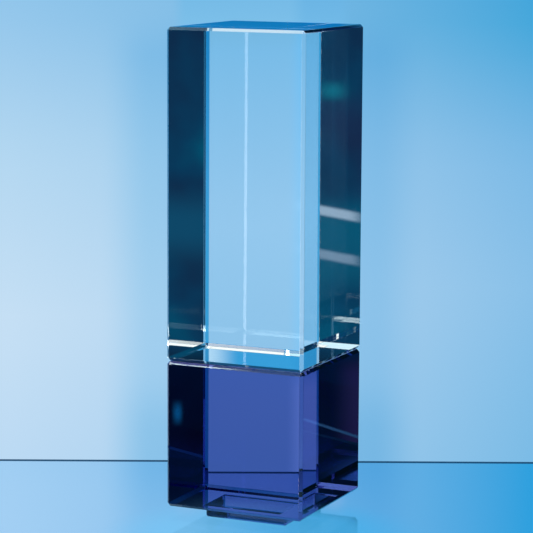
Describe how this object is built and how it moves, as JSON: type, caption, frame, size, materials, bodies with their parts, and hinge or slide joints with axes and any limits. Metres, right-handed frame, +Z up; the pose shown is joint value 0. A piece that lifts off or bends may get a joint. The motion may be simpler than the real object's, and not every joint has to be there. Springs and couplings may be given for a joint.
{
  "type": "column trophy",
  "caption": "Square crystal column award: a tall clear block bonded on a cobalt-blue cube, with chamfered edges and a small riser pad set back underneath.",
  "frame": {"origin": "middle of the riser pad's underside, on the surface that the trophy stands on", "axes": "+Z up along the column; -Y out of the front face; +X to the right seen from the front"},
  "size_m": [0.06, 0.06, 0.2],
  "materials": {
    "pad_crystal": "polished cobalt-blue optical crystal",
    "pad_adhesive": "clear UV-cured adhesive film",
    "cobalt_crystal": "polished cobalt-blue optical crystal",
    "column_adhesive": "clear UV-cured adhesive film",
    "clear_crystal": "polished clear optical crystal"
  },
  "bodies": {
    "root": {"riser_pad": "pad_crystal", "pad_bond_film": "pad_adhesive", "cobalt_base_block": "cobalt_crystal", "column_bond_film": "column_adhesive", "clear_column_block": "clear_crystal"}
  },
  "joints": []
}
